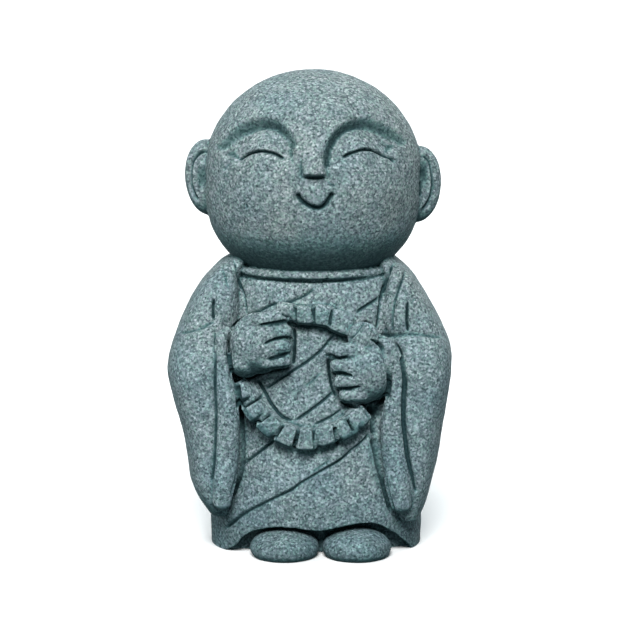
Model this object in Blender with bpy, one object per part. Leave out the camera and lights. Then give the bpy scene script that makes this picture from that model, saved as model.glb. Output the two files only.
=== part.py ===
"""Small standing monk, carved in one piece: a round shaven head on a robed body, prayer beads in both hands.

The whole figure is one solid. Its masses are built as simple closed shapes, laid into each other like clay,
joined by a voxel remesh, smoothed and then carved. It faces -Y, stands on z = 0, and its upright axis is the
Z axis.
"""

from math import cos, pi, radians, sin

import bmesh
import bpy
import numpy as np
from mathutils import Matrix, Vector

# The driving dimension, in metres: the crown of the head above the soles.
HEIGHT = 0.180

# The front drawing. All forms and carved lines are given on one drawing of the figure, as (across, up) in
# drawing units: across from the figure's axis, up from the toes. The figure's height is DRAWING_UNITS of
# them. The drawing shows the figure from a little above, and MIDDLE_UP is where it shows the middle of the
# axis. A carved line fades in and out over RUN_OUT.
DRAWING_UNITS = 474
UNIT = HEIGHT / DRAWING_UNITS
MIDDLE_UP = 257.5
RUN_OUT = 8
VIEW_RISE = radians(8)
VIEW_DISTANCE = 5.5 * HEIGHT

# The part's origin is the middle of the figure's bounds on the ground. It lies off the drawing's axis: so
# far across, and so far in front.
ORIGIN_ACROSS = -3.5
ORIGIN_FRONT = 5.4

# Fineness of the clay and of the finished solid.
VOXEL = 1.7 * UNIT
SMOOTHING_STEPS = 5
SOLID_TRIANGLES = 9500
BELOW_GROUND = 16

# Head: an egg, rounder above and squarer below. Its middle and half sizes are in drawing units.
HEAD_UP = 391
HEAD_HALF_WIDTH = 108
HEAD_ABOVE = 104
HEAD_BELOW = 104
HEAD_FRONT = 98
HEAD_BACK = 98
HEAD_ROUNDNESS = 2.1
CRANIUM_SQUARENESS = 2.0
JAW_SQUARENESS = 2.6

# Robe: (up, half width, depth in front, depth behind), and how far its middle lies across.
ROBE_ACROSS = 3
ROBE = (
    (-30, 104, 82, 72),
    (14, 105, 84, 74),
    (58, 106, 87, 77),
    (103, 101, 88, 80),
    (163, 92, 84, 80),
    (223, 91, 75, 78),
    (263, 92, 67, 73),
    (288, 86, 60, 64),
    (301, 76, 52, 54),
    (314, 56, 38, 40),
)
ROBE_SQUARENESS = 2.2

# Sleeves: (up, outer edge, inner edge, depth in front, depth behind), for the figure's right arm and left
# arm.
RIGHT_SLEEVE = (
    (311, 79, 58, 36, 40),
    (304, 91, 64, 42, 46),
    (294, 102, 69, 50, 53),
    (277, 116, 70, 58, 60),
    (253, 129, 70, 65, 65),
    (239, 135, 70, 69, 67),
    (225, 140, 72, 77, 68),
    (203, 145, 74, 83, 67),
    (170, 139, 72, 83, 63),
    (140, 130, 71, 83, 57),
    (110, 125, 72, 81, 47),
    (92, 122, 76, 79, 36),
    (76, 114, 78, 75, 22),
    (62, 104, 82, 67, 4),
)
LEFT_SLEEVE = (
    (311, 77, 58, 36, 40),
    (304, 86, 62, 42, 46),
    (294, 97, 66, 50, 53),
    (277, 109, 66, 58, 60),
    (253, 123, 64, 65, 65),
    (235, 132, 66, 68, 67),
    (222, 137, 68, 77, 68),
    (203, 138, 70, 83, 67),
    (170, 134, 66, 83, 63),
    (140, 129, 62, 83, 57),
    (110, 124, 63, 81, 47),
    (88, 118, 70, 79, 34),
    (76, 115, 76, 75, 20),
    (57, 107, 82, 68, 2),
)
SLEEVE_SQUARENESS = 2.8

# Rolled front edge of each sleeve, from the wrist down: (across, up, radius), and how deep in front it
# lies.
RIGHT_CUFF = (
    (-86, 234, 4),
    (-90, 229, 5.5),
    (-92, 220, 6.5),
    (-91, 203, 7),
    (-89, 186, 8.5),
    (-86.5, 170, 10),
    (-85, 152, 11),
    (-86, 124, 12),
    (-87, 100, 12),
    (-89, 81, 11.5),
    (-91, 63, 9),
)
LEFT_CUFF = (
    (56, 226, 4),
    (66, 224, 6),
    (76, 216, 7.5),
    (82, 202, 8),
    (84, 188, 8),
    (82.5, 170, 9),
    (80, 152, 11),
    (79, 134, 12),
    (81, 114, 12.5),
    (83, 94, 12.5),
    (85, 79, 12.5),
    (88, 61, 10.5),
)
CUFF_DEPTH = 78

# Collar: a soft roll round the neck, as a tilted ring.
COLLAR_UP = 299
COLLAR_HALF_WIDTH = 79
COLLAR_FRONT = 62
COLLAR_RADIUS = 5
COLLAR_TILT = radians(3)

# Ears: the middle on the drawing, half width, half height and half thickness.
RIGHT_EAR = (-105, 387)
LEFT_EAR = (105, 380)
EAR_HALF = (23, 14, 38)

# Hands: (across, up), the depth of the middle and the half sizes of each fist, of the wrist behind it, and
# of the lower hand's thumb. Fingers are short bars from (across, up) to (across, up).
RIGHT_FIST = ((-54, 221), 81, (28, 23, 30))
LEFT_FIST = ((51, 194), 81, (26, 24, 32))
RIGHT_WRIST = ((-67, 205), 74, (17, 23, 18))
LEFT_WRIST = ((62, 186), 74, (14, 22, 22))
THUMB = ((50, 227), 86, (15, 13, 15))
FINGER_RADIUS = 8
FINGER_DEPTH = 93
RIGHT_FINGERS = (
    ((-54, 243), (-31, 248)),
    ((-50, 229), (-29, 232)),
    ((-48, 214), (-29, 217)),
    ((-46, 202), (-29, 204)),
)
LEFT_FINGERS = (
    ((46, 213), (22, 213)),
    ((46, 198), (26, 198)),
    ((46, 183), (29, 182)),
    ((48, 170), (34, 169)),
)

# Prayer beads, in the order of the string: (across, up, length, depth, height) of each. They lie on the
# robe, four from hand to hand above and eight in a loop below. BEAD_ROUNDING is a share of a bead's least
# size.
UPPER_BEADS = (
    (-26.5, 252, 19.5, 25, 19),
    (-9.2, 248.5, 20, 25, 18),
    (9.5, 248, 21.5, 25, 21.5),
    (27, 241, 23, 26, 22),
)
LOWER_BEADS = (
    (-60.5, 172.5, 21, 44, 22),
    (-52, 155.5, 21.5, 33, 22),
    (-39.5, 140, 21.5, 28, 21.5),
    (-24.5, 130.5, 21, 26, 21),
    (-6, 126, 21.5, 26, 21.5),
    (13, 130.5, 22, 26, 20),
    (30.5, 137.5, 20.5, 26, 20),
    (43, 149, 20, 27, 20.5),
)
BEAD_LIFT = 3
BEAD_ROUNDING = 0.18

# Feet under the hem: the middle on the ground as (across, depth in front), the half sizes and the height of
# the middle.
FEET = ((-28, 71), (43, 71))
FOOT_HALF = (34, 38, 18)
FOOT_MIDDLE = 8

# The hollow under the hem, in which the feet stand: its upper edge on the drawing, and the depth of its
# back wall at the middle and at its ends.
HEM = (
    (-100, 6), (-93, 13), (-84, 15), (-77, 19), (-70, 27), (-62, 32), (-50, 35), (-27, 37), (-7, 34), (8, 33),
    (23, 36), (38, 39), (53, 41), (63, 40), (73, 36), (83, 30), (93, 22), (100, 14), (105, 6),
)
HOLLOW_MIDDLE = 58
HOLLOW_ENDS = 24


def place(across, up, depth):
    """The point that shows at (across, up) on the drawing and lies depth units in front of the axis."""
    sight = Vector((0, cos(VIEW_RISE), -sin(VIEW_RISE)))
    upward = Vector((0, sin(VIEW_RISE), cos(VIEW_RISE)))
    middle = Vector((0, 0, HEIGHT / 2))
    eye = middle - sight * VIEW_DISTANCE
    shown = middle + Vector((across * UNIT, 0, 0)) + upward * (up - MIDDLE_UP) * UNIT
    reach = (-depth * UNIT - eye.y) / (shown.y - eye.y)
    return eye + (shown - eye) * reach


def level(up):
    """The height of the point of the axis that shows at up on the drawing."""
    return place(0, up, 0).z


def on_drawing(points):
    """Where points show on the drawing, as rows of (across, up)."""
    sight = np.array((0, cos(VIEW_RISE), -sin(VIEW_RISE)))
    upward = np.array((0, sin(VIEW_RISE), cos(VIEW_RISE)))
    offset = points - (0, 0, HEIGHT / 2)
    shrink = VIEW_DISTANCE / (VIEW_DISTANCE + offset @ sight) / UNIT
    return np.stack([offset[:, 0] * shrink, offset @ upward * shrink + MIDDLE_UP], axis=1)


def ease(t):
    """A soft step from 0 to 1."""
    t = np.clip(t, 0, 1)
    return t * t * (3 - 2 * t)


def flow(stations, values, at):
    """A smooth curve through the rows of values at their stations, read at the stations in at."""
    stations = np.asarray(stations, float)
    values = np.asarray(values, float)
    at = np.asarray(at, float)
    slopes = np.gradient(values, stations, axis=0)
    i = np.clip(np.searchsorted(stations, at) - 1, 0, len(stations) - 2)
    span = (stations[i + 1] - stations[i])[:, None]
    t = (at - stations[i])[:, None] / span
    return (
        values[i] * (1 + 2 * t) * (1 - t) ** 2
        + slopes[i] * span * t * (1 - t) ** 2
        + values[i + 1] * t**2 * (3 - 2 * t)
        - slopes[i + 1] * span * t**2 * (1 - t)
    )


def smooth_line(points, count):
    """A smooth line of count points through the given ones, evenly spaced."""
    points = np.asarray(points, float)
    lengths = np.linalg.norm(np.diff(points, axis=0), axis=1)
    stations = np.concatenate([[0], np.cumsum(lengths)])
    return flow(stations, points, np.linspace(0, stations[-1], count))


def mesh_from(name, vertices, faces):
    mesh = bpy.data.meshes.new(name)
    mesh.from_pydata([tuple(v) for v in vertices], [], faces)
    return mesh


def loft(name, rings):
    """A closed skin over rings of the same number of points, from the lowest to the highest."""
    sides = len(rings[0])
    vertices = np.concatenate(rings)
    faces = [tuple(reversed(range(sides)))]
    for r in range(len(rings) - 1):
        for s in range(sides):
            corner, beside = r * sides + s, r * sides + (s + 1) % sides
            faces.append((corner, beside, beside + sides, corner + sides))
    faces.append(tuple(range(len(vertices) - sides, len(vertices))))
    return mesh_from(name, vertices, faces)


def ring(middle_across, half_width, front, back, height, squareness, sides=72):
    """A level outline, from a round one at squareness 2 to a nearly square one at 5 and more. Height is in
    metres.
    """
    turn = np.linspace(0, 2 * pi, sides, endpoint=False)
    x = np.sign(np.cos(turn)) * np.abs(np.cos(turn)) ** (2 / squareness)
    y = np.sign(np.sin(turn)) * np.abs(np.sin(turn)) ** (2 / squareness)
    depth = np.where(y < 0, front, back)
    points = np.stack([middle_across + x * half_width, y * depth, np.zeros(sides)], axis=1) * UNIT
    points[:, 2] = height
    return points


def robe_at(up):
    """Half width, depth in front and depth behind of the robe, at one place up or several."""
    rows = np.array(ROBE, float)
    return flow(rows[:, 0], rows[:, 1:], np.atleast_1d(up))


def robe_depth(across, up):
    """How far in front of the axis the robe's surface lies."""
    half_width, front, _ = robe_at(up)[0]
    share = min(abs(across - ROBE_ACROSS) / half_width, 0.95)
    return front * (1 - share**ROBE_SQUARENESS) ** (1 / ROBE_SQUARENESS)


def robe_normal(across, up):
    """The direction that the robe's surface faces."""
    here = place(across, up, robe_depth(across, up))
    beside = place(across + 1, up, robe_depth(across + 1, up))
    above = place(across, up + 1, robe_depth(across, up + 1))
    return (beside - here).cross(above - here).normalized()


def robe():
    heights = np.linspace(ROBE[0][0], ROBE[-1][0], 60)
    rows = robe_at(heights)
    rings = [ring(ROBE_ACROSS, w, f, b, level(up), ROBE_SQUARENESS) for up, (w, f, b) in zip(heights, rows)]
    return loft("robe", rings)


def head():
    rings = []
    for turn in np.linspace(-0.49 * pi, 0.49 * pi, 48):
        share = sin(turn)
        reach, power = (HEAD_ABOVE, CRANIUM_SQUARENESS) if share > 0 else (HEAD_BELOW, JAW_SQUARENESS)
        size = (1 - abs(share) ** power) ** (1 / power)
        up = HEAD_UP + reach * share
        front, back = HEAD_FRONT * size, HEAD_BACK * size
        rings.append(ring(0, HEAD_HALF_WIDTH * size, front, back, level(up), HEAD_ROUNDNESS))
    return loft("head", rings)


def sleeve(rows, side):
    """A hanging sleeve. Side is -1 for the figure's right arm and 1 for its left."""
    rows = np.array(rows[::-1], float)
    heights = np.linspace(rows[0, 0], rows[-1, 0], 50)
    rings = []
    for up, (outer, inner, front, back) in zip(heights, flow(rows[:, 0], rows[:, 1:], heights)):
        middle, half = side * (outer + inner) / 2, (outer - inner) / 2
        rings.append(ring(middle, half, front, back, level(up), SLEEVE_SQUARENESS))
    return loft("sleeve", rings)


def tube(name, points, radius, swell=None):
    """A round bar with ball ends along points in metres. Its radius is in drawing units, times the shares
    in swell.
    """
    swell = np.ones(len(points)) if swell is None else swell
    curve = bpy.data.curves.new(name, "CURVE")
    curve.dimensions = "3D"
    curve.bevel_depth = radius * UNIT
    curve.bevel_resolution = 4
    curve.use_fill_caps = True
    spline = curve.splines.new("POLY")
    spline.points.add(len(points) - 1)
    for target, point, share in zip(spline.points, points, swell):
        target.co = (*point, 1)
        target.radius = share
    bar = bpy.data.objects.new(name, curve)
    mesh = bpy.data.meshes.new_from_object(bar)
    bpy.data.objects.remove(bar)
    return [mesh, *(ball(name, points[end], (radius * swell[end],) * 3) for end in (0, -1))]


def ball(name, middle, half, turn=0.0, lean=0.0):
    """An egg with its middle in metres and its half sizes in drawing units, turned about Z and leaned about
    Y.
    """
    shape = bmesh.new()
    bmesh.ops.create_uvsphere(shape, u_segments=36, v_segments=20, radius=1)
    size = Matrix.Diagonal((*(h * UNIT for h in half), 1))
    matrix = Matrix.Translation(middle) @ Matrix.Rotation(turn, 4, "Z") @ Matrix.Rotation(lean, 4, "Y") @ size
    shape.transform(matrix)
    mesh = bpy.data.meshes.new(name)
    shape.to_mesh(mesh)
    shape.free()
    return mesh


def cuff(rows):
    """The rolled front edge of a sleeve."""
    line = smooth_line(rows, 40)
    return tube("cuff", [place(across, up, CUFF_DEPTH) for across, up, _ in line], 1, line[:, 2])


def collar():
    height = level(COLLAR_UP)
    points = []
    for turn in np.linspace(0, 2 * pi, 64, endpoint=True):
        x = COLLAR_HALF_WIDTH * cos(turn) * UNIT
        y = COLLAR_FRONT * sin(turn) * UNIT
        points.append(Vector((x, y, height + y * sin(COLLAR_TILT))))
    return tube("collar", points, COLLAR_RADIUS)


def ears():
    lean = {RIGHT_EAR: radians(-4), LEFT_EAR: radians(4)}
    return [ball("ear", place(*ear, 4), EAR_HALF, lean=lean[ear]) for ear in (RIGHT_EAR, LEFT_EAR)]


def hands():
    parts = []
    for (across, up), depth, half in (RIGHT_FIST, LEFT_FIST, RIGHT_WRIST, LEFT_WRIST, THUMB):
        parts.append(ball("hand", place(across, up, depth), half))
    for line in (*RIGHT_FINGERS, *LEFT_FINGERS):
        parts += tube("finger", [place(*point, FINGER_DEPTH) for point in line], FINGER_RADIUS)
    return parts


def bead(middle, along, out, size):
    """A rounded block, its length along the string and its depth along the robe's normal."""
    shape = bmesh.new()
    bmesh.ops.create_cube(shape, size=1)
    shape.transform(Matrix.Diagonal((*(side * UNIT for side in size), 1)))
    rounding = BEAD_ROUNDING * min(size) * UNIT
    bmesh.ops.bevel(shape, geom=shape.edges[:], offset=rounding, segments=3, affect="EDGES")
    along = along.normalized()
    out = (out - out.dot(along) * along).normalized()
    turn = Matrix((along, out, along.cross(out))).transposed().to_4x4()
    shape.transform(Matrix.Translation(middle) @ turn)
    mesh = bpy.data.meshes.new("bead")
    shape.to_mesh(mesh)
    shape.free()
    return mesh


def beads(rows):
    """Beads side by side along one run of the string, resting on the robe."""
    spots = [place(across, up, robe_depth(across, up)) for across, up, *_ in rows]
    blocks = []
    for i, (across, up, *size) in enumerate(rows):
        along = spots[min(i + 1, len(spots) - 1)] - spots[max(i - 1, 0)]
        out = robe_normal(across, up)
        blocks.append(bead(spots[i] + out * BEAD_LIFT * UNIT, along, out, size))
    return blocks


def feet():
    parts = []
    for across, depth in FEET:
        middle = Vector((across, -depth, FOOT_MIDDLE)) * UNIT
        parts.append(ball("foot", middle, FOOT_HALF))
    return parts


def hollow():
    """The cutter for the hollow under the hem."""
    line = smooth_line(HEM, 48)
    reach = max(abs(line[:, 0]))
    vertices = []
    for across, up in line:
        depth = HOLLOW_MIDDLE + (HOLLOW_ENDS - HOLLOW_MIDDLE) * (across / reach) ** 2
        front = place(across, up, robe_depth(across, up))
        x, top, below = front.x, front.z, -2 * BELOW_GROUND * UNIT
        back, ahead = -depth * UNIT, -2 * ROBE[0][2] * UNIT
        vertices += [(x, ahead, below), (x, back, below), (x, back, top), (x, ahead, top)]
    faces = [(3, 2, 1, 0)]
    for i in range(0, len(vertices) - 4, 4):
        faces += [(i + a, i + b, i + b + 4, i + a + 4) for a, b in ((0, 1), (1, 2), (2, 3), (3, 0))]
    end = len(vertices) - 4
    faces.append((end, end + 1, end + 2, end + 3))
    return mesh_from("hollow", vertices, faces)


def link(name, mesh):
    obj = bpy.data.objects.new(name, mesh)
    bpy.context.scene.collection.objects.link(obj)
    return obj


def evaluated(obj):
    """The object's mesh with its modifiers applied. The object itself goes."""
    bpy.context.view_layer.update()
    graph = bpy.context.evaluated_depsgraph_get()
    mesh = bpy.data.meshes.new_from_object(obj.evaluated_get(graph))
    bpy.data.objects.remove(obj)
    return mesh


def facing_out(mesh):
    shape = bmesh.new()
    shape.from_mesh(mesh)
    bmesh.ops.recalc_face_normals(shape, faces=shape.faces)
    shape.to_mesh(mesh)
    shape.free()
    return mesh


def hollowed(body):
    """The robe with the hollow for the feet cut out."""
    cutter = link("hollow", facing_out(hollow()))
    obj = link("robe", facing_out(body))
    cut = obj.modifiers.new("hollow", "BOOLEAN")
    cut.operation = "DIFFERENCE"
    cut.object = cutter
    mesh = evaluated(obj)
    bpy.data.objects.remove(cutter)
    return mesh


def joined(meshes):
    """One skin round all the pieces of clay, with soft seams."""
    shape = bmesh.new()
    for mesh in meshes:
        shape.from_mesh(facing_out(mesh))
    mesh = bpy.data.meshes.new("clay")
    shape.to_mesh(mesh)
    shape.free()
    obj = link("clay", mesh)
    skin = obj.modifiers.new("skin", "REMESH")
    skin.mode = "VOXEL"
    skin.voxel_size = VOXEL
    soften = obj.modifiers.new("soften", "SMOOTH")
    soften.factor = 0.5
    soften.iterations = SMOOTHING_STEPS
    return evaluated(obj)


# Carving. Each cut follows a line on the drawing: (points, half width, depth), in drawing units.
ROBE_CUTS = (
    (((-76, 289), (-58, 285), (-28, 282.5), (2, 281.5), (32, 282), (57, 285), (73, 292)), 3.5, 2.5),
    (((9, 280), (1, 274), (-13, 266), (-25, 260), (-43, 256)), 3, 2.5),
    (((69, 273), (59, 261), (45, 250), (36, 241)), 3.5, 3),
    (((20, 227), (7, 214), (-8, 201), (-23, 190), (-50, 175)), 3.5, 3.5),
    (((21, 174), (5, 161), (-10, 149), (-20, 142)), 3, 3),
    (((-38, 123), (-55, 111), (-73, 99)), 3, 3),
    (((55, 131), (43, 120), (28, 106), (9, 92), (-13, 79), (-35, 68), (-55, 58), (-73, 47), (-90, 34)),
     3.5, 3),
    (((-82, 304), (-77, 291), (-73, 276), (-70, 262), (-68, 252), (-70, 245)), 4, 4.5),
    (((83, 302), (76, 291), (70, 277), (66, 263), (64, 248), (63, 234)), 4, 4.5),
    (((91, 295), (86, 280), (81, 263), (79, 247), (78, 232)), 3, 3),
    (((-92, 298), (-88, 283), (-84, 271)), 3, 2),
    (((-98, 232), (-98, 203), (-98, 178), (-97, 153), (-98, 123), (-101, 98), (-102, 80)), 3, 3),
    (((80, 222), (87, 211), (91, 193), (92, 168), (91, 148), (93, 128), (96, 108), (100, 86), (104, 72)),
     3.5, 4),
)
ARM_CUTS = (
    (((-99, 270), (-101, 256), (-100, 240)), 6, 7),
    (((-97, 243), (-107, 237), (-119, 232), (-132, 231)), 5, 4),
    (((95, 266), (94, 249), (94, 230)), 6, 8),
    (((62, 228), (78, 229), (97, 230), (121, 228)), 4.5, 4),
)
FINGER_CUTS = (
    (((-53, 237), (-38, 240), (-20, 242)), 3, 4),
    (((-52, 217), (-41, 222), (-19, 226)), 3, 4),
    (((-47, 203), (-36, 207), (-19, 210)), 3, 4),
    (((16, 206), (27, 206), (36, 206)), 3, 4),
    (((17, 190), (29, 191), (41, 188)), 3, 4),
    (((19, 175), (32, 176), (48, 177)), 3, 4),
)
FACE_CUTS = (
    (((-89, 393), (-84, 401), (-79, 404), (-72, 408), (-62, 412), (-52, 412), (-42, 410), (-28, 403)), 3, 4),
    (((27, 404), (38, 410), (48, 414), (57, 415), (68, 412), (77, 406), (86, 398)), 3, 4),
    (((-16, 371), (-14, 364), (-9, 358), (-2, 355), (5, 354), (12, 356), (17, 362), (21, 371)), 3.5, 4.5),
)
EAR_CUTS = (
    (((-104, 413), (-114, 412), (-120, 404), (-122, 388), (-120, 373), (-113, 362), (-106, 357)), 4, 5),
    (((-107, 404), (-110, 391), (-108, 370)), 8, 7),
    (((107, 411), (114, 409), (119, 400), (121, 386), (120, 374), (115, 362), (108, 355)), 4, 5),
    (((108, 402), (110, 389), (108, 368)), 8, 7),
)
# The figure's back: lines seen from straight behind.
BACK_CUTS = (
    (((70, 282), (45, 240), (5, 185), (-40, 135), (-78, 100)), 4, 3),
    (((84, 262), (60, 222), (20, 168), (-24, 120), (-66, 84)), 4, 2.5),
)
# Steps: on one side of its line, 1 for the left of its run and -1 for the right, the stone rises or sinks
# by a height over a first reach, and comes back over a second one.
ROBE_STEPS = (
    (((-84, 306), (-79, 291), (-75, 276), (-72, 262), (-70, 250)), -1, 4, 4, 20),
    (((86, 304), (79, 291), (73, 277), (69, 263), (67, 248), (66, 236)), 1, 4, 4, 16),
    (((93, 299), (88, 282), (83, 264), (81, 248), (80, 236)), 1, 3, 4, 14),
    (((69, 270), (59, 258), (45, 247), (36, 239)), 1, 2.5, 4, 30),
    (((24, 227), (11, 214), (-4, 201), (-19, 190), (-46, 175)), 1, 2.5, 4, 30),
    (((57, 128), (45, 117), (30, 103), (11, 89), (-11, 76), (-33, 65), (-53, 55), (-71, 44)), -1, 2.5, 4, 30),
)
BROWS = (
    (((-11, 388), (-13, 400), (-17, 418), (-24, 431), (-33, 439), (-44, 443), (-55, 443), (-68, 438),
      (-80, 430), (-90, 420), (-98, 408)), 1, -7, 8, 34),
    (((12, 386), (12, 401), (14, 415), (18, 427), (25, 436), (35, 442), (46, 446), (58, 445), (69, 441),
      (80, 433), (91, 421)), -1, -7, 8, 34),
)
NOSE_ACROSS = 1.5
NOSE_TOP = 425
NOSE_TIP = 389
NOSE_HALF_WIDTH = 12
NOSE_HEIGHT = 6
# Soft swellings: (middle, reach, height).
SWELLINGS = (
    ((3, 370), 26, 1.5),
    ((-56, 371), 36, 3),
    ((60, 373), 36, 3),
    ((-57, 408), 26, 2),
    ((57, 410), 26, 2),
)


def measure(line, at):
    """Distance of each place from the line, share of the way along it, and side: 1 on the left of its run.
    """
    line = smooth_line(line, 40)
    distance = np.full(len(at), np.inf)
    along, side = np.zeros(len(at)), np.zeros(len(at))
    for i, (start, end) in enumerate(zip(line[:-1], line[1:])):
        run = end - start
        t = np.clip((at - start) @ run / (run @ run), 0, 1)
        off = at - start - t[:, None] * run
        away = np.linalg.norm(off, axis=1)
        nearer = away < distance
        distance[nearer] = away[nearer]
        along[nearer] = (i + t[nearer]) / (len(line) - 1)
        side[nearer] = np.sign(run[0] * off[nearer, 1] - run[1] * off[nearer, 0])
    return distance, along, side


def near_line(at, line, reach):
    """The places that can lie within reach of the line."""
    low, high = np.min(line, axis=0) - reach, np.max(line, axis=0) + reach
    return np.where(((at > low) & (at < high)).all(axis=1))[0]


def faded(line, along):
    """A carved line's strength along its length."""
    length = np.linalg.norm(np.diff(line, axis=0), axis=1).sum()
    return ease(along * length / RUN_OUT) * ease((1 - along) * length / RUN_OUT)


def cut(at, line, half_width, depth):
    """How far one cut sinks each place: full along the line, nothing at half_width and at its ends."""
    sunk = np.zeros(len(at))
    near = near_line(at, line, half_width)
    distance, along, _ = measure(line, at[near])
    across = 0.5 + 0.5 * np.cos(pi * np.clip(distance / half_width, 0, 1))
    sunk[near] = depth * across * faded(line, along)
    return sunk


def step(at, line, side, height, rise, fall):
    """How far one step lifts each place on its side of the line: full at rise from it, nothing at rise +
    fall.
    """
    lifted = np.zeros(len(at))
    near = near_line(at, line, rise + fall)
    distance, along, found = measure(line, at[near])
    inside = np.where(found == side, distance, 0)
    across = ease(inside / rise) * (1 - ease((inside - rise) / fall))
    lifted[near] = height * across * faded(line, along)
    return lifted


def nose(at):
    """A wedge that rises down to its tip and ends square."""
    down = np.clip((NOSE_TOP - at[:, 1]) / (NOSE_TOP - NOSE_TIP), 0, 1)
    half_width = NOSE_HALF_WIDTH * (0.75 + 0.25 * down)
    across = 1 - ease((np.abs(at[:, 0] - NOSE_ACROSS) - 0.45 * half_width) / (0.75 * half_width))
    underside = ease((at[:, 1] - NOSE_TIP + 2) / 4)
    return NOSE_HEIGHT * down**1.3 * across * underside


def carve(mesh):
    """Moves the skin in and out along its normals, as the strokes say."""
    count = len(mesh.vertices)
    points, normals = np.zeros(count * 3), np.zeros(count * 3)
    mesh.vertices.foreach_get("co", points)
    mesh.vertices.foreach_get("normal", normals)
    points, normals = points.reshape(-1, 3), normals.reshape(-1, 3)
    front = on_drawing(points)
    to_eye = np.array((0, -cos(VIEW_RISE), sin(VIEW_RISE)))
    shows = ease((normals @ to_eye - 0.05) / 0.3)
    behind = np.stack([-points[:, 0], points[:, 2]], axis=1) / UNIT
    turned_away = ease((normals[:, 1] - 0.05) / 0.3)
    sunk = np.zeros(count)
    for line in (*ROBE_CUTS, *ARM_CUTS, *FINGER_CUTS, *FACE_CUTS, *EAR_CUTS):
        sunk = np.maximum(sunk, cut(front, *line) * shows)
    for line in BACK_CUTS:
        sunk = np.maximum(sunk, cut(behind, *line) * turned_away)
    face = (front[:, 1] > HEAD_UP - HEAD_BELOW / 2) & (points[:, 1] < 0)
    lifted = nose(front) * face
    for middle, reach, height in SWELLINGS:
        away = np.linalg.norm(front - middle, axis=1)
        lifted += height * (1 - ease(away / reach)) * face
    for line in (*ROBE_STEPS, *BROWS):
        lifted += step(front, *line)
    points += normals * ((lifted * shows - sunk) * UNIT)[:, None]
    mesh.vertices.foreach_set("co", points.ravel())
    mesh.update()
    return mesh


def thinned(mesh):
    """The same skin with fewer triangles, close together only where it bends."""
    shape = bmesh.new()
    shape.from_mesh(mesh)
    bmesh.ops.triangulate(shape, faces=shape.faces)
    have = len(shape.faces)
    shape.to_mesh(mesh)
    shape.free()
    obj = link("skin", mesh)
    thin = obj.modifiers.new("thin", "DECIMATE")
    thin.ratio = min(1, SOLID_TRIANGLES / have)
    thin.use_collapse_triangulate = True
    return evaluated(obj)


def stood_on_ground(mesh):
    """Cuts the skin off level at z = 0 and closes it with a flat underside."""
    shape = bmesh.new()
    shape.from_mesh(mesh)
    everything = shape.verts[:] + shape.edges[:] + shape.faces[:]
    bmesh.ops.bisect_plane(shape, geom=everything, dist=1e-7, plane_co=(0, 0, 0), plane_no=(0, 0, -1),
                           clear_outer=True)
    rim = [e for e in shape.edges if e.is_boundary]
    bmesh.ops.holes_fill(shape, edges=rim, sides=0)
    bmesh.ops.recalc_face_normals(shape, faces=shape.faces)
    shape.to_mesh(mesh)
    shape.free()
    return mesh


def stone():
    material = bpy.data.materials.new("granite")
    material.use_nodes = True
    surface = material.node_tree.nodes["Principled BSDF"]
    surface.inputs["Base Color"].default_value = (0.22, 0.29, 0.29, 1)
    surface.inputs["Roughness"].default_value = 0.85
    surface.inputs["Metallic"].default_value = 0.0
    return material


def monk():
    clay = [hollowed(robe()), head(), sleeve(RIGHT_SLEEVE, -1), sleeve(LEFT_SLEEVE, 1)]
    clay += cuff(RIGHT_CUFF) + cuff(LEFT_CUFF) + collar() + ears() + hands()
    clay += beads(UPPER_BEADS) + beads(LOWER_BEADS) + feet()
    mesh = stood_on_ground(thinned(carve(joined(clay))))
    mesh.transform(Matrix.Translation((-ORIGIN_ACROSS * UNIT, ORIGIN_FRONT * UNIT, 0)))
    mesh.materials.clear()
    mesh.materials.append(stone())
    mesh.shade_smooth()
    mesh.set_sharp_from_angle(angle=radians(50))
    return link("monk_statue", mesh)


for leftover in list(bpy.data.objects):
    bpy.data.objects.remove(leftover)
monk()
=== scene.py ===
"""A small granite monk on a pale ground, round-headed and smiling, with prayer beads in both hands.

The whole figure is one stone. It is modelled as a carver works. The masses come first and are joined into one
block. Then the lines and hollows are cut into its skin, and the tooled surface and the grain come last.
"""

from math import cos, pi, radians, sin

import bmesh
import bpy
import numpy as np
from mathutils import Matrix, Vector, noise


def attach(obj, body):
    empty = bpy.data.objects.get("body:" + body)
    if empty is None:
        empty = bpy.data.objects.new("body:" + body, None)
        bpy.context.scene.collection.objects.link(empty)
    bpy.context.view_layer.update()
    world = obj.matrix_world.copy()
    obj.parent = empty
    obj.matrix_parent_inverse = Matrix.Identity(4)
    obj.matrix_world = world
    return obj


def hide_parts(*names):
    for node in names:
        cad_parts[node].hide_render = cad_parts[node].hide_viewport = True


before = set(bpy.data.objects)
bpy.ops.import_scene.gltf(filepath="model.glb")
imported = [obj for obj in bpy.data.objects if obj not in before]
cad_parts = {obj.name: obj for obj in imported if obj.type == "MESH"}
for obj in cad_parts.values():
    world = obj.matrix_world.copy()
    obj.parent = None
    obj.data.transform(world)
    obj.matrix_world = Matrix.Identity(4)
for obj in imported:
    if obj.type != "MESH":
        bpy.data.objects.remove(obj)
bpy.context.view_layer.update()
clay = []  # the masses of the figure, until they are joined


# The robe is the body of the figure: a tall, slightly flattened barrel of granite that narrows to the
# shoulders. It is given on a front drawing of the figure, 474 units high, that looks down on it by a few
# degrees. Everything else is placed on the same drawing as (across from the axis, up from the toes).
HEIGHT = 0.180
UNIT = HEIGHT / 474
MIDDLE_UP = 257.5
VIEW_RISE = radians(8)
VIEW_DISTANCE = 5.5 * HEIGHT
SIGHT = Vector((0, cos(VIEW_RISE), -sin(VIEW_RISE)))
UPWARD = Vector((0, sin(VIEW_RISE), cos(VIEW_RISE)))
MIDDLE = Vector((0, 0, HEIGHT / 2))

ROBE_ACROSS = 3
ROBE_SQUARENESS = 2.2
ROBE_RINGS = 110
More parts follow.
